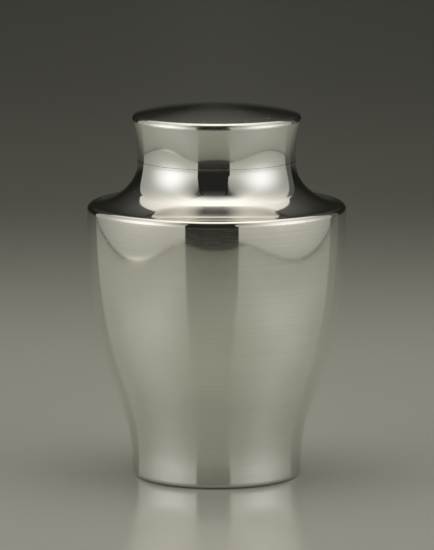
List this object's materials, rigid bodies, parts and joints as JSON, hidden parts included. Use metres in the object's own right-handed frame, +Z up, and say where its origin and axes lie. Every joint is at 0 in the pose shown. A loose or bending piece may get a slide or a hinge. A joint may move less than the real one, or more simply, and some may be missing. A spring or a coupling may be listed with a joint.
{
  "type": "tea caddy",
  "caption": "Round pewter tea caddy: tapered body on an upright foot, hollow-curved shoulder and neck, slip-over domed lid above a knobbed plug lid that keeps the leaves dry.",
  "frame": {"origin": "centre of the standing ring's underside, on the caddy's axis", "axes": "+Z up along the caddy's axis, the way both lids lift; the caddy is round, so +X and +Y are free"},
  "size_m": [0.072, 0.072, 0.1035],
  "materials": {
    "satin_pewter": "pewter, lathe-turned to a satin with fine rings around the axis",
    "polished_pewter": "pewter, burnished almost to a mirror",
    "plain_pewter": "pewter, left as turned",
    "solder": "dull tin solder"
  },
  "bodies": {
    "pot": {"body_wall": "satin_pewter", "base_plate": "plain_pewter", "base_solder": "solder", "shoulder": "polished_pewter", "shoulder_solder": "solder", "mouth_collar": "plain_pewter", "collar_solder": "solder"},
    "inner_lid": {"inner_lid_dish": "plain_pewter", "inner_lid_knob": "polished_pewter"},
    "outer_lid": {"lid_skirt": "polished_pewter", "lid_top": "polished_pewter", "lid_solder": "solder"}
  },
  "joints": [
    {"name": "inner_lid_lift", "type": "slide", "parent": "pot", "child": "inner_lid", "axis": [0, 0, 1], "range_m": [0, 0.03]},
    {"name": "outer_lid_lift", "type": "slide", "parent": "inner_lid", "child": "outer_lid", "axis": [0, 0, 1], "range_m": [0, 0.04]}
  ]
}
